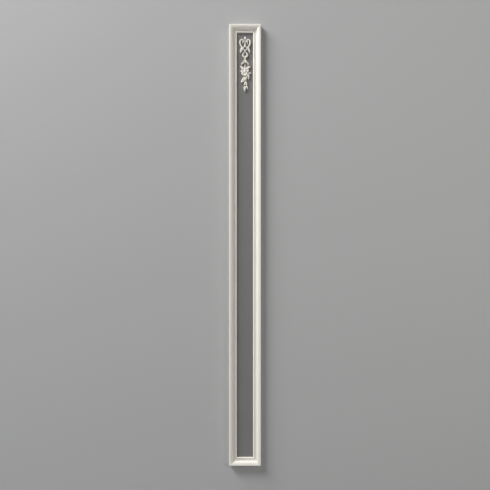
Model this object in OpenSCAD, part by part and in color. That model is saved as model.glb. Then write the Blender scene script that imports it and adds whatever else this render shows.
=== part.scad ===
// Panelled pilaster: a tall mitred frame of moulding round a sunk field board,
// with a carved floral drop near the top of the field.
// Millimetres. +Z is up, the front faces -Y, and the back lies on the plane y = 0.
// The origin is the centre of the flat back.

/* [Frame] */
// Height over the outer edges of the frame
frame_h = 2400; // [1200:10:3000]
// Width over the outer edges of the frame
frame_w = 172; // [160:1:320]

/* [Moulding] */
// Width of the moulding's face, from its outer edge to the field
face_w = 42; // [38:0.5:52]
// Depth of the moulding, from the wall to its front fillet
moulding_d = 30; // [25:0.5:40]
// Width of the flat fillet along the outer edge
fillet_w = 9; // [6:0.5:12]
// Step down from the front fillet to the quarter round
quirk = 1.2; // [0.6:0.1:2]
// Radius of the quarter round that falls towards the field
ovolo_r = 13.5; // [10:0.5:15]
// Width of the narrow ledge at the foot of the quarter round
ledge_w = 7.5; // [2:0.5:8]
// Height of the groove's floor, and of the bead's middle, above the wall
groove_h = 9.5; // [8:0.5:11.5]
// Diameter of the bead along the inner edge
bead_d = 10; // [7:0.5:11]
// Radius of the fillet's outer corner
outer_round = 1.5; // [0.5:0.1:2.5]

/* [Field] */
// Thickness of the field board
board_t = 5; // [3:0.5:6]
// Width of the rebate behind the moulding that takes the board's edge
rebate_w = 10; // [6:0.5:14]
// Clearance between the board's edge and the rebate, all round
board_gap = 0.5; // [0.2:0.1:1]

/* [Drop] */
// Height of the carved drop
drop_h = 301; // [200:1:340]
// Gap from the frame's inner edge down to the drop
drop_gap = 19; // [5:1:60]
// Least gap between the drop and the stiles; a narrow field shrinks the drop to keep it
side_gap = 4; // [2:0.5:20]
// Relief of the rose, the drop's highest part, above the board
drop_relief = 14; // [8:0.5:20]

/* [Hidden] */
$fn = 48;

open_w = frame_w - 2 * face_w;
open_h = frame_h - 2 * face_w;
ledge_h = moulding_d - quirk - ovolo_r;
ledge_u = fillet_w + ovolo_r;
bead_r = bead_d / 2;
cut = 1;           // how far a cutting shape runs past what it cuts
edge_round = 0.7;  // the painted arrises of the fillet and the ledge

// The drop is drawn on a grid of its own: 301 units down from its tip and 67 wide, x to the right.
unit = min(drop_h / 301, (open_w - 2 * side_gap) / 67);
lift = drop_relief / 13.8;     // one unit of relief; the rose's heart stands 13.8 high
drop_top = frame_h / 2 - face_w - drop_gap;

// ---- moulding ----------------------------------------------------------------------------

// A block with its front corner rounded, from the wall up to height h, between u0 and u1.
// side is -1 to round the outer corner and 1 to round the inner one.
module rounded_block(u0, u1, h, r, side) {
    square_w = u1 - u0;
    translate([u0, 0]) square([square_w, h - r]);
    translate([side < 0 ? u0 + r : u0, 0]) square([square_w - r, h]);
    translate([side < 0 ? u0 + r : u1 - r, h - r]) circle(r);
}

// Cross-section: x is the distance in from the outer edge, y the height above the wall.
module moulding_profile() {
    difference() {
        union() {
            rounded_block(0, fillet_w / 2, moulding_d, outer_round, -1);
            rounded_block(fillet_w / 2 - cut, fillet_w, moulding_d, edge_round, 1);
            translate([fillet_w - cut, 0]) square([cut + ovolo_r, ledge_h]);
            intersection() {
                translate([fillet_w, ledge_h]) circle(ovolo_r);
                translate([fillet_w - cut, ledge_h - cut]) square(ovolo_r + 2 * cut);
            }
            rounded_block(ledge_u - cut, ledge_u + ledge_w, ledge_h, edge_round, 1);
            square([face_w, groove_h]);
            translate([face_w - bead_r, groove_h]) circle(bead_r);
        }
        translate([face_w - rebate_w, -cut]) square([rebate_w + cut, board_t + cut]);
    }
}

// One length of moulding with both ends mitred. Its outer edge lies along X at z = 0,
// it widens inwards along +Z, and its back is on y = 0.
module mitred_length(length) {
    intersection() {
        translate([-length / 2, 0, 0])
            rotate([180, -90, 0])
                linear_extrude(length) moulding_profile();
        translate([0, cut, 0])
            rotate([90, 0, 0])
                linear_extrude(moulding_d + 2 * cut)
                    polygon([
                        [-length / 2, 0],
                        [length / 2, 0],
                        [length / 2 - face_w, face_w],
                        [face_w - length / 2, face_w]
                    ]);
    }
}

module bottom_rail() {
    color("#f2f0e8") translate([0, 0, -frame_h / 2]) mitred_length(frame_w);
}

module top_rail() {
    color("#f2f0e8")
        translate([0, 0, frame_h / 2]) rotate([0, 180, 0]) mitred_length(frame_w);
}

module left_stile() {
    color("#f2f0e8")
        translate([-frame_w / 2, 0, 0]) rotate([0, 90, 0]) mitred_length(frame_h);
}

module right_stile() {
    color("#f2f0e8")
        translate([frame_w / 2, 0, 0]) rotate([0, -90, 0]) mitred_length(frame_h);
}

// ---- field -------------------------------------------------------------------------------

module field_board() {
    board_w = open_w + 2 * (rebate_w - board_gap);
    board_h = open_h + 2 * (rebate_w - board_gap);
    color("#808286")
        translate([-board_w / 2, -board_t, -board_h / 2]) cube([board_w, board_t, board_h]);
}

// ---- drop: curves and sections -----------------------------------------------------------

// A point at t, from 0 to 1, on the smooth curve through the points p (Catmull-Rom).
function on_curve(p, t) =
    let (
        last = len(p) - 1,
        i = min(floor(t * last), last - 1),
        f = t * last - i,
        a = p[max(i - 1, 0)], b = p[i], c = p[i + 1], d = p[min(i + 2, last)]
    )
    0.5 * (2 * b + (c - a) * f + (2 * a - 5 * b + 4 * c - d) * f * f
        + (3 * b - a - 3 * c + d) * f * f * f);

// The unit vector to the left of the curve's direction at t.
function across_curve(p, t) =
    let (
        step = 0.01,
        v = on_curve(p, min(t + step, 1)) - on_curve(p, max(t - step, 0))
    )
    [-v[1], v[0]] / norm(v);

// Sections: [across, up] pairs from one foot to the other, across from -1 to 1, up from 0 to 1.
function section(up, steps) =
    concat([[-1, 0]], [for (i = [0:steps]) let (a = 2 * i / steps - 1) [a, up(a)]], [[1, 0]]);

// A half-round strand.
round_section = section(function(a) 0.35 + 0.65 * sqrt(max(0, 1 - a * a)), 4);
// A leaf: two swelling halves with a vein sunk between them.
leaf_section = section(function(a) 0.85 - 0.3 * abs(a) + 0.55 * sqrt(abs(a)) * (1 - pow(abs(a), 2.5)), 6);

// ---- drop: strands, leaves and bosses ----------------------------------------------------

// A relief strand along the curve through points, in grid units, standing on the board.
// half_w and rise are functions of t: half the strand's width and its height, in units.
module strand(points, half_w, rise, shape, steps) {
    m = len(shape);
    rings = [
        for (i = [0:steps])
            let (
                t = i / steps,
                middle = on_curve(points, t),
                side = across_curve(points, t),
                w = max(half_w(t), 0.2),
                h = max(rise(t), 0.5)
            )
            [for (s = shape) let (q = middle + side * w * s[0])
                [q[0] * unit, -q[1] * unit, h * s[1] * lift]]
    ];
    skin = [
        for (i = [0:steps - 1], j = [0:m - 1])
            let (k = (j + 1) % m, a = i * m, b = (i + 1) * m)
            [a + j, b + j, b + k, a + k]
    ];
    ends = [[for (j = [0:m - 1]) j], [for (j = [m - 1:-1:0]) steps * m + j]];
    polyhedron([for (ring = rings) each ring], concat(skin, ends), convexity = 6);
}

// A pointed leaf from root to tip. full is where along its length it is widest.
module leaf(points, w, h, full = 0.4, shape = leaf_section, steps = 6) {
    bow = ln(0.5) / ln(full);
    strand(points,
        function(t) w * pow(sin(180 * pow(min(max(t, 0.03), 0.99), bow)), 0.75),
        function(t) h * (0.6 + 0.4 * sin(90 + 110 * (t - full))),
        shape, steps);
}

// A smooth round strand whose half-width goes from w0 at its start to w1 at its end.
module stem(points, w0, w1, h, steps) {
    strand(points, function(t) w0 + (w1 - w0) * t, function(t) h, round_section, steps);
}

// A round boss on the board, with radius r and height h.
module boss(x, d, r, h) {
    translate([x * unit, -d * unit, 0])
        hull() {
            cylinder(r = r * unit, h = h * lift * 0.4, $fn = 14);
            translate([0, 0, h * lift * 0.75]) cylinder(r = r * unit * 0.75, h = 0.1, $fn = 14);
            cylinder(r = r * unit * 0.35, h = h * lift, $fn = 14);
        }
}

// The same strand, leaf or boss on both sides of the middle line.
module both_sides() {
    children();
    mirror([1, 0, 0]) children();
}

// ---- drop: its parts, from the top down --------------------------------------------------

// Bud over a low fluted shell, with a pendant tear below it.
module finial() {
    leaf([[0, 17], [0, 9], [0, 0]], 5.3, 9.5, 0.37, round_section);
    leaf([[0, 36], [0, 25], [0, 14]], 4.6, 6.5, 0.55, leaf_section, 4);
    both_sides() stem([[0.6, 31], [4.6, 27.6], [8.4, 24.6]], 2.6, 3, 7, 2);
    leaf([[0, 58], [0, 48], [0, 33]], 4.8, 10, 0.34, round_section);
}

// Two C-scrolls that rise from the crossing, roll over and end in a ball with a curled tail.
module lyre_scrolls() {
    both_sides() {
        strand(
            [[-0.3, 79], [-8, 69.5], [-14.5, 62], [-20.6, 53.4], [-26.2, 41.6], [-28, 31.2], [-25.4, 22.2],
             [-19, 17.4], [-12.6, 18.4], [-8.8, 23.2], [-10.6, 29.6]],
            function(t) 3.9 + 0.9 * sin(180 * pow(t, 0.75)) - 0.8 * t,
            function(t) 7.6 + 2.4 * sin(180 * pow(t, 0.85)),
            round_section, 24);
        boss(-12, 30, 4.3, 10);
        leaf([[-12, 30], [-13.2, 34], [-13.2, 38]], 2.7, 7, 0.3, round_section, 4);
        stem([[-11.5, 60.4], [-5.6, 57.8], [0, 56.4]], 2.4, 2.4, 5.5, 2);
    }
}

// Lobed leaves that splay from the crossing over the scrolls' feet, and the pellet below it.
module splayed_leaves() {
    both_sides() {
        leaf([[-14.5, 57.6], [-21.8, 72.6], [-25.6, 90.6]], 6.4, 9, 0.46, leaf_section, 7);
        leaf([[-14.6, 58.6], [-16.8, 71], [-15.8, 83]], 5.2, 9.8, 0.54, round_section, 5);
        leaf([[-12, 59.6], [-11, 68.6], [-9.2, 77.4]], 4.4, 9.4, 0.5, round_section, 5);
    }
    boss(-0.2, 79.2, 3.8, 9.5);
}

// An onion-shaped ring of two crescents, hung from the pellet.
module ring() {
    stem([[0, 80], [0, 90]], 3, 4.4, 7, 1);
    both_sides()
        strand(
            [[-1, 85], [-6.8, 88.2], [-12, 94.8], [-13.2, 102.8], [-9.6, 109.4], [-0.4, 111.4]],
            function(t) 2.6 + 2.8 * sin(180 * pow(t, 1.15)) + 1.6 * t,
            function(t) 7.5 + 2.2 * sin(180 * t) - 1.2 * t,
            round_section, 11);
}

// A stem that forks into two leaves, each ending in a rolled lobe.
module fork() {
    stem([[-0.4, 112], [-0.6, 124], [0, 138]], 4.1, 4.6, 7.6, 3);
    leaf([[0, 132], [0, 141], [0, 154]], 3.6, 5, 0.4, round_section, 4);
    both_sides() {
        leaf([[-1.4, 128.4], [-6.8, 137.2], [-12.4, 148.8]], 4.6, 9, 0.48);
        leaf([[-7.6, 134], [-14.6, 144], [-21.6, 155.6]], 4.3, 8, 0.62, round_section, 5);
        boss(-20, 152.4, 3.4, 7.5);
    }
}

// The rose: a tall middle petal, four splayed ones and a cupped pair below a closed heart.
module rose() {
    leaf([[-0.4, 186], [-0.3, 168], [0, 149.6]], 4.6, 11.4, 0.4, round_section, 7);
    leaf([[-3, 183], [-14.6, 172.4], [-27.6, 160.8]], 8.2, 10, 0.4);
    leaf([[3, 183], [14.4, 172], [29.6, 161.6]], 8.2, 10, 0.4);
    leaf([[-3, 186], [-14.6, 190], [-27.2, 186.6]], 7.6, 8.8, 0.46);
    leaf([[3, 186], [12.4, 188.6], [21.4, 182.6]], 7.4, 8.8, 0.5);
    leaf([[5, 186], [13.4, 191.4], [16.4, 200.6]], 5.4, 10.6, 0.55, round_section, 5);
    both_sides() boss(-7.4, 183.6, 11.4, 8);
    leaf([[-1.6, 189], [-14.4, 200.6], [-2.4, 217]], 6.4, 10.6, 0.5, leaf_section, 9);
    leaf([[0.4, 190], [6.6, 201.6], [-0.6, 216.8]], 5.2, 10.4, 0.5, leaf_section, 7);
    leaf([[-0.6, 170], [-1.4, 184], [-2.6, 198.6]], 5.4, 13.8, 0.5, round_section, 7);
}

// Stem and leaves that hang below the rose.
module hanging_leaves() {
    stem([[4, 205], [8.4, 217], [6, 232], [3, 252]], 3.4, 3, 6.6, 6);
    leaf([[12.6, 203.4], [22.6, 201.6], [33, 199]], 4.4, 8.4, 0.55);
    leaf([[7, 203], [19.6, 212], [19.4, 234]], 4.7, 9, 0.56, leaf_section, 7);
    leaf([[7, 223], [-6, 232.8], [-22, 251.2]], 9.4, 10.4, 0.44, leaf_section, 8);
}

// Bell flower: a fluted cup with a flared mouth, open at its eye.
module bell_flower() {
    difference() {
        union() {
            leaf([[3, 241], [-0.4, 255], [-6.4, 268]], 6.6, 9, 0.6, round_section);
            leaf([[3, 241], [6.4, 255], [10.8, 270.4]], 6, 8.6, 0.6, round_section);
            boss(1.6, 263.6, 9.6, 7.6);
        }
        translate([2.8 * unit, -268.6 * unit, 2.5 * lift])
            cylinder(r1 = 2.2 * unit, r2 = 2.9 * unit, h = 10 * lift, $fn = 16);
    }
}

// Three leaves that end the drop.
module tail() {
    leaf([[-1.2, 266], [-2.4, 279], [-1.6, 301]], 6, 9.4, 0.45, leaf_section, 7);
    leaf([[-1, 268], [-5.4, 277.4], [-7.4, 288.6]], 3, 7.4, 0.55, round_section, 4);
    leaf([[4, 267.4], [9.6, 278], [17, 291.4]], 4.9, 8.6, 0.5);
}

module floral_drop() {
    color("#f5f3ec")
        translate([0, -board_t, drop_top])
            rotate([90, 0, 0])
                union() {
                    finial();
                    lyre_scrolls();
                    splayed_leaves();
                    ring();
                    fork();
                    rose();
                    hanging_leaves();
                    bell_flower();
                    tail();
                }
}

left_stile();
right_stile();
top_rail();
bottom_rail();
field_board();
floral_drop();
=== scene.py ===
"""Panelled pilaster: a mitred frame of painted moulding round a grey field, with a carved floral drop.

Lengths are in millimetres until they reach a mesh; the stage, lamps and camera are in metres. The axes
are the CAD's: +Z up, the front faces -Y, and the origin is the middle of the flat back.
"""
import math

import bmesh
import bpy
import numpy as np
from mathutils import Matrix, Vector


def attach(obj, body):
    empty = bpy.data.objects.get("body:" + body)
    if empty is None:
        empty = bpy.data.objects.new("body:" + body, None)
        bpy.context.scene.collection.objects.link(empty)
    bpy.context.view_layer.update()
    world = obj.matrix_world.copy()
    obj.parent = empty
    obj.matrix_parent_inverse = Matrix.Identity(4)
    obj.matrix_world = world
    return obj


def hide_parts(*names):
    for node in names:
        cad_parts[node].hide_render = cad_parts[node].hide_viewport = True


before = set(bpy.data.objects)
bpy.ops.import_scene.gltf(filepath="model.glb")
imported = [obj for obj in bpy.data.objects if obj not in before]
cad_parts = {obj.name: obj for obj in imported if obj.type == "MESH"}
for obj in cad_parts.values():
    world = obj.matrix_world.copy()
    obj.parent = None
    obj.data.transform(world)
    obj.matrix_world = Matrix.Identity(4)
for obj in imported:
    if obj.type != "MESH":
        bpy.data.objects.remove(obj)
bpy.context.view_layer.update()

MM = 0.001

# The frame, as in the CAD
FRAME_H, FRAME_W, FACE_W, DEPTH = 2400.0, 172.0, 42.0, 30.0
FILLET_W, QUIRK, OVOLO_R, LEDGE_W = 9.0, 1.2, 13.5, 7.5
GROOVE_H, BEAD_R, REBATE_W, BOARD_T = 9.5, 5.0, 10.0, 5.0

# Its finish
EDGE_R, LIP_R, SMALL_R = 1.5, 0.7, 0.6      # radii of the outer edge, the ledge's lip, other corners
MITRE_GAP, ARRIS = 0.03, 0.3                # at each end of a length
FADE = 3.0          # painted shade is full this far below the groove's floor, and ends as far above it

# The drop
DROP_TOP = FRAME_H / 2 - FACE_W - 19.0
GRID = 0.35         # spacing of the height field
SIDE, ABOVE, BELOW = 37.0, -3.0, 304.0      # where the field ends: across, and down from the drop's tip
GROUND = -4.0       # its height where nothing is carved
WALL = 5.0          # how steeply the relief's sides fall to the board
MARGIN = 3.0        # how far past its edge each shape is worked out
STEPS = 96          # straight pieces that a curve is followed in
SPREAD = 14         # passes of softening that a hollow's depth is measured against
DEEP = 1.6          # the hollow's depth at which the painted shade is full


# ---- meshes ------------------------------------------------------------------------------

def make_object(name, verts, faces, material, node, recess, sharp=35.0):
    """A mesh object in metres, from millimetres, that stands for one CAD node. recess says how deep in a
    hollow each vertex lies, 0 to 1, which darkens the paint there as painted shade and roughens it, and
    edges that turn by more than sharp degrees stay crisp."""
    mesh = bpy.data.meshes.new(name)
    mesh.from_pydata((np.asarray(verts) * MM).tolist(), [], faces)
    mesh.update()
    mesh.attributes.new("recess", "FLOAT", "POINT").data.foreach_set("value", recess)
    mesh.polygons.foreach_set("use_smooth", np.ones(len(mesh.polygons), dtype=bool))
    mesh.set_sharp_from_angle(angle=math.radians(sharp))
    mesh.materials.append(material)
    obj = bpy.data.objects.new(name, mesh)
    bpy.context.scene.collection.objects.link(obj)
    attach(obj, "root")
    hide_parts(node)
    return obj


# ---- moulding ----------------------------------------------------------------------------

def arc(cu, ch, r, start, end, n):
    """n + 1 points (cu + r cos a, ch + r sin a) for a from start to end, in degrees."""
    a = np.radians(np.linspace(start, end, n + 1))
    return np.stack([cu + r * np.cos(a), ch + r * np.sin(a)], axis=1)


def corner(before, at, after, r, n=5):
    """The arc of radius r that is tangent to the two sides meeting at a corner, as n + 1 points."""
    at = np.asarray(at, float)
    a = np.subtract(before, at) / np.linalg.norm(np.subtract(before, at))
    b = np.subtract(after, at) / np.linalg.norm(np.subtract(after, at))
    half = math.acos(np.clip(a @ b, -1, 1)) / 2
    middle = at + (a + b) / np.linalg.norm(a + b) * r / math.sin(half)
    first, last = at + a * r / math.tan(half) - middle, at + b * r / math.tan(half) - middle
    s = np.linspace(0, 1, n + 1)[:, None]
    sweep = math.pi - 2 * half
    return middle + (np.sin((1 - s) * sweep) * first + np.sin(s * sweep) * last) / math.sin(sweep)


def moulding_profile():
    """The closed cross-section as (distance in from the outer edge, height above the wall). It starts at
    the back outer corner and runs up, in across the face, and back along the wall."""
    front = DEPTH - QUIRK
    ledge_u, ledge_h = FILLET_W + OVOLO_R, DEPTH - QUIRK - OVOLO_R
    groove_u, bead_u = FACE_W - 2 * BEAD_R, FACE_W - BEAD_R
    end_u = ledge_u + LEDGE_W
    return np.concatenate([
        [(0, 0), (0, 10), (0, 20)],     # the outer side, split so that it shades flat
        corner((0, 0), (0, DEPTH), (FILLET_W, DEPTH), EDGE_R),
        corner((0, DEPTH), (FILLET_W, DEPTH), (FILLET_W, front), SMALL_R),
        arc(FILLET_W, ledge_h, OVOLO_R, 90, 4, 22),
        corner((ledge_u, front), (ledge_u, ledge_h), (end_u, ledge_h), SMALL_R),
        corner((ledge_u, ledge_h), (end_u, ledge_h), (end_u, GROOVE_H), LIP_R),
        corner((end_u, ledge_h), (end_u, GROOVE_H), (groove_u, GROOVE_H), SMALL_R),
        arc(bead_u, GROOVE_H, BEAD_R, 176, 0, 22),
        [(FACE_W, BOARD_T + 2), (FACE_W, BOARD_T)],
        [(FACE_W - REBATE_W, BOARD_T), (FACE_W - REBATE_W, 0)],
    ])


def moulding(name, length, reach, turn, material):
    """One mitred length. The profile P(u, h) is swept along l, from one mitre to the other:
    (l, u, h) -> X = l, Y = -h, Z = u - reach, with l ending at +-(length / 2 - u), and the whole is
    then turned about Y, by turn degrees. Each end has a fine arris, so that the joint shows as a
    hairline."""
    p = moulding_profile()
    n = len(p)
    ahead, behind = np.roll(p, -1, axis=0) - p, p - np.roll(p, 1, axis=0)
    ahead /= np.linalg.norm(ahead, axis=1)[:, None]
    behind /= np.linalg.norm(behind, axis=1)[:, None]
    side = ahead + behind
    out = np.stack([-side[:, 1], side[:, 0]], axis=1) / np.linalg.norm(side, axis=1)[:, None]
    shrunk = p - out * ARRIS
    # (share of the way from the middle to the mitre, cross-section, distance short of the mitre)
    stations = [(-1, shrunk, MITRE_GAP), (-1, p, MITRE_GAP + ARRIS)]
    stations += [(f, p, 0.0) for f in np.linspace(-0.9, 0.9, 13)]       # 13 sections between the mitres
    stations += [(1, p, MITRE_GAP + ARRIS), (1, shrunk, MITRE_GAP)]
    rings = []
    for f, q, back in stations:
        l = f * (length / 2 - q[:, 0] - back)
        rings.append(np.stack([l, -q[:, 1], q[:, 0] - reach], axis=1))
    v = np.concatenate(rings)
    c, s = math.cos(math.radians(turn)), math.sin(math.radians(turn))
    v = np.stack([c * v[:, 0] + s * v[:, 2], v[:, 1], -s * v[:, 0] + c * v[:, 2]], axis=1)
    j = np.arange(n)
    k = (j + 1) % n
    faces = []
    for i in range(len(stations) - 1):
        a, b = i * n, (i + 1) * n
        faces += np.stack([a + j, b + j, b + k, a + k], axis=1).tolist()
    faces.append(list(range(n)))
    faces.append(list(range(len(stations) * n - 1, (len(stations) - 1) * n - 1, -1)))
    # painted shade: the paint is darkened low down beyond the ovolo, in the groove and at the bead's
    # foot
    low = np.clip((GROOVE_H + FADE - p[:, 1]) / (2 * FADE), 0, 1) * (p[:, 0] > FILLET_W + OVOLO_R)
    make_object(name + "_moulding", v, faces, material, name,
                np.tile(low, len(stations)))


# ---- relief ------------------------------------------------------------------------------

def smooth_curve(points, n):
    """n + 1 points on the Catmull-Rom curve through points."""
    p = np.asarray(points, float)
    last = len(p) - 1
    t = np.linspace(0, 1, n + 1) * last
    i = np.minimum(t.astype(int), last - 1)
    f = (t - i)[:, None]
    a, b, c, d = p[np.maximum(i - 1, 0)], p[i], p[i + 1], p[np.minimum(i + 2, last)]
    return 0.5 * (2 * b + (c - a) * f + (2 * a - 5 * b + 4 * c - d) * f**2
                  + (3 * b - a - 3 * c + d) * f**3)


class Relief:
    """A height above the board for every (x, d): x to the right of the drop's middle, d down from its
    tip. Shapes are merged in by a smooth maximum, so that they meet as carving does, in a soft
    crease."""

    def __init__(self):
        self.x = np.arange(-SIDE, SIDE + GRID / 2, GRID)
        self.d = np.arange(ABOVE, BELOW + GRID / 2, GRID)
        self.h = np.full((len(self.d), len(self.x)), GROUND)

    def window(self, points, reach):
        """The part of the grid within reach of the box round points: (its slices, its x, its d)."""
        p = np.asarray(points, float)
        lo, hi = p.min(axis=0) - reach, p.max(axis=0) + reach
        rows = slice(*np.searchsorted(self.d, [lo[1], hi[1]]))
        cols = slice(*np.searchsorted(self.x, [lo[0], hi[0]]))
        x, d = np.meshgrid(self.x[cols], self.d[rows])
        return (rows, cols), x, d

    def merge(self, where, h, blend):
        """max(a, b) + (k - |a - b|)^2 / 4k where the two are within k of each other."""
        a = self.h[where]
        near = np.maximum(blend - np.abs(a - h), 0)
        self.h[where] = np.maximum(a, h) + near**2 / (4 * blend)

    def follow(self, points, reach):
        """For each cell near a curve: how far along it the nearest place lies, 0 to 1, the distance to
        it, and the side, positive on the left of travel."""
        curve = smooth_curve(points, STEPS)
        where, x, d = self.window(curve, reach)
        best = np.full(x.shape, 1e9)
        at, side = np.zeros(x.shape), np.zeros(x.shape)
        for i in range(STEPS):
            a, b = curve[i], curve[i + 1]
            e = b - a
            u, v = x - a[0], d - a[1]
            f = np.clip((u * e[0] + v * e[1]) / (e @ e), 0, 1)
            px, pd = u - f * e[0], v - f * e[1]
            dist = px * px + pd * pd
            closer = dist < best
            best = np.where(closer, dist, best)
            at = np.where(closer, (i + f) / STEPS, at)
            side = np.where(closer, np.sign(e[1] * px - e[0] * pd), side)
        return where, at, np.sqrt(best), side

    def strand(self, points, width, rise, section, base=3.0, blend=0.7, bend=0.0):
        """A raised strand along a curve. width(t) and rise(t) are its half-width and its height above
        base at t; section(a, t) is its shape across, a from -1 to 1 and left of travel positive. Beyond
        its edge it falls at the slope WALL. bend tilts it across."""
        widest = float(np.max(width(np.linspace(0, 1, STEPS + 1))))
        where, at, dist, side = self.follow(points, widest + MARGIN)
        w = np.maximum(width(at), 0.05)
        a = np.clip(side * dist / w, -1, 1)
        inside = base + rise(at) * section(a, at) + bend * a
        outside = base + rise(at) * section(np.sign(a), at) + bend * np.sign(a) - WALL * (dist - w)
        self.merge(where, np.where(dist < w, inside, outside), blend)

    def groove(self, points, depth, width):
        """A cut of depth exp(-(distance / width)^2) along a curve, shallow at its ends."""
        where, at, dist, _ = self.follow(points, 3 * width)
        self.h[where] -= depth * np.sin(np.pi * np.clip(at, 0.12, 0.88)) * np.exp(-((dist / width) ** 2))

    def leaf(self, points, w, rise, full, section, base, blend=0.7, bend=0.0, tip=0.55):
        """A pointed leaf from root to tip: half-width w sin(pi t^q)^0.72, where q puts the widest place
        at t = full. Its height is rise there and falls to a little over tip * rise at the point."""
        q = math.log(0.5) / math.log(full)

        def width(t):
            return w * np.sin(np.pi * np.clip(t, 0.004, 0.996) ** q) ** 0.72

        def height(t):
            past = np.clip((t - full) / (1.05 - full), -1, 1)
            return rise * (tip + (1 - tip) * np.cos(past * np.pi / 2))

        self.strand(points, width, height, section, base, blend, bend)

    def ball(self, x, d, r, height, rd=None, blend=0.5):
        """A domed boss with half-widths r across and rd down: height (foot + (1 - foot) sqrt(1 - q^2)),
        where q is 0 in its middle and 1 at its edge."""
        rd, foot = rd or r, 0.35
        where, gx, gd = self.window([(x, d)], max(r, rd) + MARGIN)
        q = np.sqrt(((gx - x) / r) ** 2 + ((gd - d) / rd) ** 2)
        dome = height * (foot + (1 - foot) * np.sqrt(np.clip(1 - q * q, 0, 1)))
        self.merge(where, np.where(q < 1, dome, foot * height - WALL * (q - 1) * min(r, rd)), blend)

    def dent(self, x, d, depth, rx, rd):
        """A soft hollow, depth exp(-q^2), for the pits that the carver drills between petals."""
        where, gx, gd = self.window([(x, d)], 3 * max(rx, rd))
        self.h[where] -= depth * np.exp(-((gx - x) / rx) ** 2 - ((gd - d) / rd) ** 2)

    def soften(self, passes):
        """Averages each height with its neighbours, 1 2 1 each way, as paint rounds an arris."""
        for _ in range(passes):
            for axis in (0, 1):
                ahead, behind = np.roll(self.h, 1, axis), np.roll(self.h, -1, axis)
                self.h = (self.h * 2 + ahead + behind) / 4


# Shapes across a strand: a height from 0 to about 1, for a from -1 to 1 across and t from 0 to 1 along

def rounded(a, t):
    """A full, smooth crown: (1 - |a|^2.6)^0.6."""
    return (1 - np.abs(a) ** 2.6) ** 0.6


def blade(a, t):
    """Two swelling halves with a sunk midrib, and side veins cut as narrow channels that run back from
    it: a vein lies where 6 t - m is a whole number."""
    m = np.abs(a)
    halves = 0.68 + 0.5 * m**0.8 * (1 - m * m) - 0.12 * np.exp(-((a / 0.12) ** 2))
    vein = np.exp(-((np.sin(np.pi * (6 * t - m)) / 0.42) ** 2))
    cut = 0.30 * vein * m * (1 - m) * np.sin(np.pi * t)
    return (halves - cut) * np.sqrt(1 - m**5)


def cupped(a, t):
    """A petal whose rims stand above its hollow middle, with soft ribs along it."""
    m = np.abs(a)
    ribs = 0.035 * np.cos(5 * np.pi * a) * np.sin(np.pi * t)
    return (0.6 + 0.45 * m**1.6 + ribs) * np.sqrt(1 - m**7)


def fluted(a, t):
    """A round strand with a shallow channel along it."""
    return (1 - np.abs(a) ** 3.2) ** 0.6 - 0.13 * np.exp(-((a / 0.32) ** 2))


def both(points):
    """A curve and its mirror image."""
    return points, [(-x, d) for x, d in points]


def along(*values):
    """A function of t that passes smoothly through evenly spaced values."""
    n = 80
    curve = smooth_curve([(v, 0.0) for v in values], n)[:, 0]
    return lambda t: np.interp(t, np.linspace(0, 1, n + 1), curve)


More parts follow.
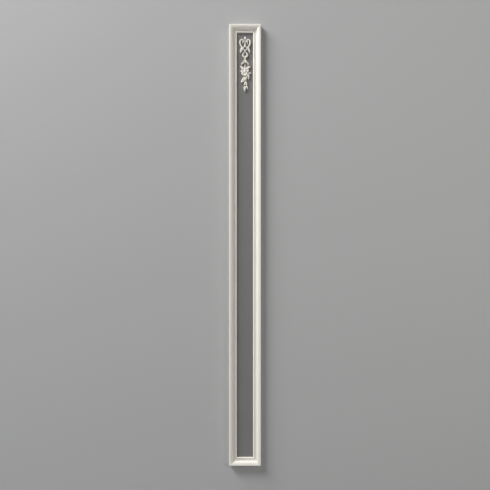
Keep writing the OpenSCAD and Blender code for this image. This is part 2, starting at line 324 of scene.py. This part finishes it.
def carve():
    """The whole drop, from the bud at its top to the leaves that end it. Millimetres."""
    r = Relief()

    # bud with two sepals, over a small low shell, and the tear that hangs between the scrolls
    r.leaf([(0, 16.8), (0, 9.4), (0, 0.4)], 4.6, 8.0, 0.42, rounded, base=3.6)
    for p in both([(0.8, 16.6), (4.6, 10.8), (3.4, 4.8)]):
        r.leaf(p, 2.0, 5.4, 0.42, rounded, base=3.4)
    r.leaf([(0, 35.6), (0, 26), (0, 16.4)], 2.0, 2.4, 0.5, blade, base=1.2)
    for p in both([(0.8, 33.4), (4.4, 28.2), (5.2, 20)]):
        r.leaf(p, 1.4, 2.0, 0.45, rounded, base=1.0)
    r.leaf([(0, 57.8), (0, 48), (0, 34)], 4.4, 8.4, 0.34, rounded, base=4.0)

    # C-scrolls that roll over into a small volute, with a husk below, and the bar across their feet
    scroll = [(-1.4, 77), (-7.4, 70), (-13.6, 62.4), (-20.0, 53.4), (-25.4, 42.4), (-27.4, 31.2),
              (-24.8, 22.2), (-18.8, 17.6), (-12.8, 18.4), (-9.4, 22.4), (-9.2, 27.2), (-10.8, 30.6),
              (-13.2, 31.2)]
    for p in both(scroll):
        r.strand(p, along(1.8, 2.5, 3.3, 3.5, 3.6, 3.6, 3.3, 2.8, 2.2, 1.7, 1.2),
                 along(6.4, 6.8, 7.2, 7.2, 7.4, 7.2, 6.6, 6.0, 5.6, 5.6, 5.6), fluted,
                 base=4.4, blend=0.3)
    for sx in (-1, 1):
        r.ball(sx * 12.4, 28.8, 4.0, 12.6, blend=0.3)
        r.leaf([(sx * 13.4, 37.8), (sx * 13.2, 34.8), (sx * 12.6, 30.6)], 2.2, 4.6, 0.34, rounded,
               base=3.0)
    r.strand([(-12.4, 60.4), (-6.4, 57.6), (0, 56.6), (6.4, 57.6), (12.4, 60.4)],
             along(2.6, 1.9, 1.9, 1.9, 2.6), along(5.4, 5.4, 5.4, 5.4, 5.4), rounded,
             base=4.2, blend=0.4)

    # lobed leaves over the scrolls' feet, and the pellet under them
    for p in both([(-14.5, 57.6), (-21.4, 72), (-25.0, 90.2)]):
        r.leaf(p, 5.2, 7.6, 0.45, blade, base=3.6, blend=0.4)
    for p in both([(-15.0, 58.6), (-16.8, 68.6), (-16.6, 79.4)]):
        r.leaf(p, 4.1, 8.0, 0.56, blade, base=4.0, blend=0.4)
    for p in both([(-12, 60.0), (-11.2, 66.6), (-10.2, 73.2)]):
        r.leaf(p, 3.2, 8.0, 0.5, rounded, base=3.8, blend=0.4)
    r.ball(0, 79.0, 3.7, 12.0, 4.0)

    # the onion ring
    for p in both([(-0.6, 83.4), (-6.2, 87.8), (-10.8, 94.2), (-12.2, 102.0), (-9.0, 108.8),
                   (0, 111.2)]):
        r.strand(p, along(1.6, 2.1, 2.8, 3.5, 4.3, 4.8), along(4.6, 5.6, 6.8, 7.4, 7.0, 5.8), fluted,
                 base=4.2, blend=0.3)
    r.dent(0, 109.8, 6.6, 2.8, 3.0)

    # stem and fork
    r.strand([(0, 115.6), (0, 127), (0, 140.4)], along(3.0, 3.0, 4.2), along(5.0, 6.0, 5.2), fluted)
    r.leaf([(0, 134), (0, 142), (0, 152)], 2.4, 2.2, 0.4, rounded, base=2.0)
    for p in both([(-1.5, 128.4), (-6.8, 137.4), (-12.2, 149.0)]):
        r.leaf(p, 4.3, 8.0, 0.52, blade, base=3.6, blend=0.4)
    for p in both([(-6.8, 136), (-14.0, 143.6), (-19.8, 155.0)]):
        r.leaf(p, 3.7, 7.4, 0.72, rounded, base=3.2, blend=0.4, tip=0.8)

    # the rose: outer petals, body, cupped lower petals, and the shield-shaped heart over them
    r.leaf([(-0.4, 184), (-0.3, 168), (0, 150.4)], 3.2, 4.0, 0.4, rounded, base=3.0)
    r.leaf([(-4, 182), (-14, 172), (-26.2, 161.8)], 6.4, 7.6, 0.5, blade, base=3.6, bend=0.8,
           blend=0.4)
    r.leaf([(4, 182), (14.4, 171.4), (28.4, 162.6)], 6.4, 7.6, 0.5, blade, base=3.6, bend=-0.8,
           blend=0.4)
    r.leaf([(-4, 187.6), (-14.6, 190.6), (-27.2, 187.6)], 5.6, 6.6, 0.46, blade, base=3.2, blend=0.4)
    r.leaf([(4, 185), (13, 186), (20.8, 181.4)], 5.8, 6.0, 0.55, cupped, base=3.2, blend=0.4)
    r.ball(-8.8, 180.6, 10.2, 9.4, 9.4)
    r.ball(8.8, 180.6, 10.2, 9.4, 9.4)
    r.ball(-3.0, 200.6, 9.6, 8.6, 11.0)
    r.ball(-11.0, 206.4, 5.6, 10.0)
    r.ball(1.6, 207.8, 5.6, 10.0)
    r.leaf([(4, 187), (12.8, 190.2), (14.4, 199.6)], 4.1, 9.0, 0.6, blade, base=4.0, blend=0.3)
    r.leaf([(-6.4, 190), (-15.6, 202.4), (-2.4, 215.2)], 4.5, 8.6, 0.55, cupped, base=4.2, blend=0.3)
    r.leaf([(4.0, 192), (6.4, 204.2), (-2.6, 215.2)], 4.0, 8.4, 0.55, cupped, base=4.2, blend=0.3)
    r.leaf([(-2.7, 202.6), (-2.2, 190), (-0.6, 170)], 6.8, 5.8, 0.34, rounded, base=4.4, blend=0.6)
    r.groove([(-9.2, 192.6), (-6.0, 197.8), (-2.7, 203.2)], 5.6, 1.6)
    r.groove([(4.0, 193.0), (0.6, 198.2), (-2.7, 203.2)], 5.6, 1.6)
    r.dent(-2.7, 202.8, 3.6, 2.4, 3.0)
    for p in both([(-5.4, 168), (-6.0, 174), (-7.0, 180)]):
        r.groove(p, 1.8, 1.2)
    r.dent(7.8, 183.2, 8.8, 4.0, 3.0)
    r.dent(-9.8, 183.4, 8.4, 4.0, 3.0)

    # stem and leaves below the rose
    r.strand([(4, 205), (8.0, 215.4), (7.6, 226), (4.4, 238), (3, 250)], along(2.8, 2.8, 2.6, 2.4, 2.4),
             along(4.6, 4.8, 4.2, 4.0, 3.4), rounded, base=1.6)
    r.leaf([(12, 203.0), (22.8, 200.6), (32.4, 199.4)], 4.1, 7.6, 0.64, blade, base=3.4, blend=0.4)
    r.leaf([(8, 205.0), (17.6, 212.0), (19.0, 233.6)], 5.0, 8.4, 0.56, blade, base=3.4, blend=0.4)
    r.leaf([(6.8, 223.6), (-5.4, 233.2), (-21.8, 250.8)], 9.3, 9.8, 0.42, blade, base=3.8, blend=0.4)

    # bell flower
    r.leaf([(3.4, 243.2), (0.2, 254), (-4.6, 266.4)], 4.9, 7.4, 0.6, rounded, base=3.4, blend=0.3)
    r.leaf([(3.4, 243.2), (6.2, 254), (9.4, 268.4)], 4.6, 7.2, 0.6, rounded, base=3.4, blend=0.3)
    r.ball(2.2, 262.2, 6.8, 9.0, 5.2)
    r.groove([(3.2, 244), (3.2, 252), (3.0, 262)], 3.0, 1.2)

    # the leaves that end the drop
    r.leaf([(3.6, 266), (3.4, 275), (2.6, 286)], 4.6, 6.2, 0.6, rounded, base=3.0, blend=0.4)
    r.leaf([(-1.6, 268), (-1.9, 280), (-1.6, 300.6)], 4.7, 8.4, 0.56, blade, base=3.6, blend=0.4)
    r.leaf([(-1.8, 269.6), (-5.0, 277.8), (-6.0, 287.4)], 2.2, 6.6, 0.55, rounded, base=3.2, blend=0.4)
    r.leaf([(6.4, 269), (10.4, 277.6), (16.2, 289.2)], 4.1, 7.8, 0.46, blade, base=3.4, blend=0.4)
    r.dent(2.8, 269.0, 16.0, 2.9, 2.9)
    r.soften(1)
    return r


def contour_mesh(relief):
    """The relief above height 0 as a mesh: marching squares, each cut edge at the place where the height
    crosses 0, so that the outline is smooth. Returns vertices (x, d, h) and polygons."""
    h = relief.h
    up = h > 0
    x, d = np.meshgrid(relief.x, relief.d)
    grid_id = np.full(h.shape, -1)
    grid_id[up] = np.arange(up.sum())
    verts = [np.stack([x[up], d[up], h[up]], axis=1)]
    count = int(up.sum())

    def cuts(axis):
        """A vertex on every grid edge along axis whose ends lie on different sides of height 0. It keeps
        2 % of the edge clear of both ends, so that no face has a side of no length."""
        nonlocal count
        a, b = (h[:, :-1], h[:, 1:]) if axis else (h[:-1], h[1:])
        xa, xb = (x[:, :-1], x[:, 1:]) if axis else (x[:-1], x[1:])
        da, db = (d[:, :-1], d[:, 1:]) if axis else (d[:-1], d[1:])
        crossed = (a > 0) != (b > 0)
        f = np.clip((a / np.where(crossed, a - b, 1))[crossed], 0.02, 0.98)
        ids = np.full(a.shape, -1)
        ids[crossed] = count + np.arange(crossed.sum())
        count += int(crossed.sum())
        verts.append(np.stack([
            xa[crossed] + f * (xb - xa)[crossed], da[crossed] + f * (db - da)[crossed], 0 * f], axis=1))
        return ids

    across, down = cuts(1), cuts(0)
    # a cell's corners 0-3 go round from its first, and 4-7 are the cut points of its sides
    ids = np.stack([
        grid_id[:-1, :-1], grid_id[:-1, 1:], grid_id[1:, 1:], grid_id[1:, :-1],
        across[:-1], down[:, 1:], across[1:], down[:, :-1]])
    code = up[:-1, :-1] + 2 * up[:-1, 1:] + 4 * up[1:, 1:] + 8 * up[1:, :-1]
    faces = []
    for c in range(1, 16):
        inside = [bool(c >> k & 1) for k in range(4)]
        walk = []
        for k in range(4):
            if inside[k]:
                walk.append(k)
            if inside[k] != inside[(k + 1) % 4]:
                walk.append(4 + k)
        # where only two opposite corners are up, each has a triangle of its own
        rings = {5: [[7, 0, 4], [5, 2, 6]], 10: [[4, 1, 5], [6, 3, 7]]}.get(c, [walk])
        cells = code == c
        for ring in rings:
            faces += np.stack([ids[k][cells] for k in ring], axis=1).tolist()
    return np.concatenate(verts), faces


def floral_drop(material):
    """The carved drop, cast in one piece with a flat back that lies on the board."""
    relief = carve()
    verts, faces = contour_mesh(relief)
    # a place is hollow by as much as it lies below a much softened copy of the relief, and there the
    # paint is darkened as painted shade
    raised = np.maximum(relief.h, 0)
    softened = Relief()
    softened.h = raised
    softened.soften(SPREAD)
    depth = softened.h - raised
    col = np.clip(np.rint((verts[:, 0] - relief.x[0]) / GRID).astype(int), 0, len(relief.x) - 1)
    row = np.clip(np.rint((verts[:, 1] - relief.d[0]) / GRID).astype(int), 0, len(relief.d) - 1)
    recess = np.clip(depth[row, col] / DEEP, 0, 1)
    placed = np.stack([verts[:, 0], -BOARD_T - verts[:, 2], DROP_TOP - verts[:, 1]], axis=1)
    obj = make_object("floral_drop_carving", placed, faces, material, "floral_drop",
                      recess, sharp=70.0)
    bm = bmesh.new()
    bm.from_mesh(obj.data)
    rim = [e for e in bm.edges if e.is_boundary]
    bmesh.ops.triangle_fill(bm, edges=rim, use_beauty=False)
    bmesh.ops.recalc_face_normals(bm, faces=bm.faces)
    for e in rim:
        e.smooth = False
    bm.to_mesh(obj.data)
    bm.free()


# ---- materials ---------------------------------------------------------------------------

class Value:
    """A number or a node's output, with arithmetic spelt as Math nodes."""

    def __init__(self, tree, source):
        self.tree, self.source = tree, source

    def made(self, kind, inputs=(), output=0, **settings):
        """The output of a new node of any kind, with inputs given as (name or index, value) pairs."""
        node = self.tree.nodes.new(kind)
        for key, value in settings.items():
            setattr(node, key, value)
        for key, value in inputs:
            self.feed(node.inputs[key], value)
        return Value(self.tree, node.outputs[output])

    def feed(self, socket, value):
        value = value.source if isinstance(value, Value) else value
        if isinstance(value, bpy.types.NodeSocket):
            self.tree.links.new(value, socket)
        else:
            socket.default_value = value

    def math(self, operation, *others):
        return self.made("ShaderNodeMath", list(enumerate((self, *others))), operation=operation)

    def __add__(self, other): return self.math("ADD", other)
    def __radd__(self, other): return Value(self.tree, other).math("ADD", self)
    def __mul__(self, other): return self.math("MULTIPLY", other)
    def __rmul__(self, other): return Value(self.tree, other).math("MULTIPLY", self)


def new_material(name):
    """A material with an empty Principled shader: (material, Value to start from, shader node)."""
    material = bpy.data.materials.new(name)
    material.use_nodes = True
    tree = material.node_tree
    shader = tree.nodes["Principled BSDF"]
    return material, Value(tree, 0.0), shader


def noise(v, scale, detail=3.0, roughness=0.5, stretch=(1, 1, 1)):
    """Noise on Object coordinates, about 0 to 1."""
    place = v.made("ShaderNodeTexCoord", output="Object")
    place = v.made("ShaderNodeVectorMath", [(0, place), (1, stretch)], operation="MULTIPLY")
    return v.made("ShaderNodeTexNoise",
                  [("Vector", place), ("Scale", scale), ("Detail", detail), ("Roughness", roughness)],
                  output="Fac")


def mixed(v, factor, a, b):
    """Colour a where factor is 0 and b where it is 1. Sockets 6, 7 and output 2 are the colours."""
    return v.made("ShaderNodeMix", [("Factor", factor), (6, (*a, 1)), (7, (*b, 1))],
                  output=2, data_type="RGBA")


def bumped(v, height, strength, distance):
    """A normal tilted by the slope of height, where a height of 1 stands for distance metres."""
    return v.made("ShaderNodeBump", [("Height", height), ("Strength", strength), ("Distance", distance)],
                  output="Normal")


def white_paint(name, brushed):
    """Warm white satin paint, darker and creamier in recesses as painted shade and in random soft
    patches; it dries with a fine orange peel, and along a moulding it also keeps faint brush drag."""
    material, v, shader = new_material(name)
    recess = v.made("ShaderNodeAttribute", output="Fac", attribute_name="recess")
    patch = noise(v, 9.0)
    # painted shade in hollows, plus random creamier patches, mix the paint towards a darker cream
    shade_and_patches = (recess * 0.8 + patch * 0.15).math("MINIMUM", 1.0)
    v.feed(shader.inputs["Base Color"], mixed(v, shade_and_patches, (0.86, 0.845, 0.80), (0.74, 0.70, 0.61)))
    v.feed(shader.inputs["Roughness"], 0.36 + 0.16 * noise(v, 60.0) + 0.2 * recess)
    peel = noise(v, 700.0, 2.0) + 0.6 * noise(v, 240.0, 2.0)
    if brushed:
        peel = peel + 0.8 * noise(v, 500.0, 1.0, stretch=brushed)
    v.feed(shader.inputs["Normal"], bumped(v, peel, 0.35, 0.00012))
    return material


def grey_paint(name):
    """Mid-grey matt wall paint, rolled on: a soft stipple and faint clouding."""
    material, v, shader = new_material(name)
    cloud = noise(v, 5.0, 4.0)
    v.feed(shader.inputs["Base Color"], mixed(v, cloud, (0.168, 0.169, 0.173), (0.192, 0.193, 0.197)))
    v.feed(shader.inputs["Roughness"], 0.62 + 0.14 * noise(v, 80.0))
    stipple = noise(v, 420.0, 3.0, 0.6) + 0.5 * noise(v, 130.0, 2.0)
    v.feed(shader.inputs["Normal"], bumped(v, stipple, 0.4, 0.00025))
    return material


def stage_paint(name, colour):
    """Plain matt stage colour, open from behind so that the object's back can be seen."""
    material, v, shader = new_material(name)
    shader.inputs["Base Color"].default_value = (*colour, 1)
    shader.inputs["Roughness"].default_value = 0.9
    clear = v.made("ShaderNodeBsdfTransparent")
    behind = v.made("ShaderNodeNewGeometry", output="Backfacing")
    paint = Value(v.tree, shader.outputs[0])
    surface = v.made("ShaderNodeMixShader", [(0, behind), (1, paint), (2, clear)])
    v.feed(v.tree.nodes["Material Output"].inputs["Surface"], surface)
    return material


# ---- the object --------------------------------------------------------------------------

along_x = white_paint("white_paint_rails", (0.04, 1, 1))
along_z = white_paint("white_paint_stiles", (1, 1, 0.04))
moulding("bottom_rail", FRAME_W, FRAME_H / 2, 0, along_x)
moulding("top_rail", FRAME_W, FRAME_H / 2, 180, along_x)
moulding("left_stile", FRAME_H, FRAME_W / 2, 90, along_z)
moulding("right_stile", FRAME_H, FRAME_W / 2, -90, along_z)
floral_drop(white_paint("white_paint_drop", None))

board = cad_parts["field_board"]
board.data.materials.clear()
board.data.materials.append(grey_paint("grey_paint_field"))


# ---- stage -------------------------------------------------------------------------------

def sheet(name, corners, faces, material):
    """A flat part of the stage."""
    mesh = bpy.data.meshes.new(name)
    mesh.from_pydata(corners, [], faces)
    mesh.materials.append(material)
    obj = bpy.data.objects.new(name, mesh)
    bpy.context.scene.collection.objects.link(obj)


def area_light(name, place, size, power, colour):
    """A rectangular lamp that points at the origin."""
    light = bpy.data.lights.new(name, "AREA")
    light.shape, light.size, light.size_y, light.energy, light.color = "RECTANGLE", *size, power, colour
    obj = bpy.data.objects.new(name, light)
    obj.location = place
    obj.rotation_euler = (-Vector(place)).to_track_quat("-Z", "Y").to_euler()
    bpy.context.scene.collection.objects.link(obj)


# the backdrop stands BACK behind the pilaster and is open there, up to TUCK inside the pilaster's
# outline, so that light reaches the pilaster's back
BACK, TUCK = 0.002, 0.002
FLOOR, TOP, HALF, FRONT = -1.5, 5, 6, -8
EDGE_X, EDGE_Z = FRAME_W / 2 * MM - TUCK, FRAME_H / 2 * MM - TUCK
outer = [(-HALF, BACK, FLOOR), (HALF, BACK, FLOOR), (HALF, BACK, TOP), (-HALF, BACK, TOP)]
inner = [(x * EDGE_X, BACK, z * EDGE_Z) for x, z in ((-1, -1), (1, -1), (1, 1), (-1, 1))]
sheet("backdrop", outer + inner, [(k, (k + 1) % 4, 4 + (k + 1) % 4, 4 + k) for k in range(4)],
      stage_paint("stage_back", (0.42, 0.43, 0.44)))
sheet("floor", [(-HALF, FRONT, FLOOR), (HALF, FRONT, FLOOR), (HALF, BACK, FLOOR), (-HALF, BACK, FLOOR)],
      [(0, 1, 2, 3)], stage_paint("stage_floor", (0.36, 0.36, 0.36)))

DAYLIGHT, WARM = (1.0, 0.985, 0.96), (1.0, 0.96, 0.90)
area_light("key", (-5.04, -2.94, 6.3), (4.5, 3.4), 1020, DAYLIGHT)
area_light("fill", (3.2, -3.6, 0.8), (2.2, 1.6), 58, WARM)
area_light("rear", (-1.5, 4.0, 2.0), (2.2, 1.6), 240, DAYLIGHT)

scene = bpy.context.scene
# the camera sees a pale surround, and a dim, cool one lights the pilaster
world = scene.world or bpy.data.worlds.new("world")
scene.world = world
world.use_nodes = True
wt = world.node_tree
sky = Value(wt, 0.0)
seen = sky.made("ShaderNodeLightPath", output="Is Camera Ray")
lit = sky.made("ShaderNodeBackground", [("Color", (0.80, 0.83, 0.88, 1)), ("Strength", 0.07)])
pale = sky.made("ShaderNodeBackground", [("Color", (0.70, 0.71, 0.72, 1)), ("Strength", 0.85)])
sky.feed(wt.nodes["World Output"].inputs["Surface"],
         sky.made("ShaderNodeMixShader", [(0, seen), (1, lit), (2, pale)]))

camera = bpy.data.objects.new("camera", bpy.data.cameras.new("camera"))
camera.data.lens, camera.data.sensor_width = 50, 36
camera.location = (0, -3.726, 0)        # level with the pilaster's middle
camera.rotation_euler = (math.radians(90), 0, 0)
scene.collection.objects.link(camera)
scene.camera = camera
scene.view_settings.view_transform = "Standard"
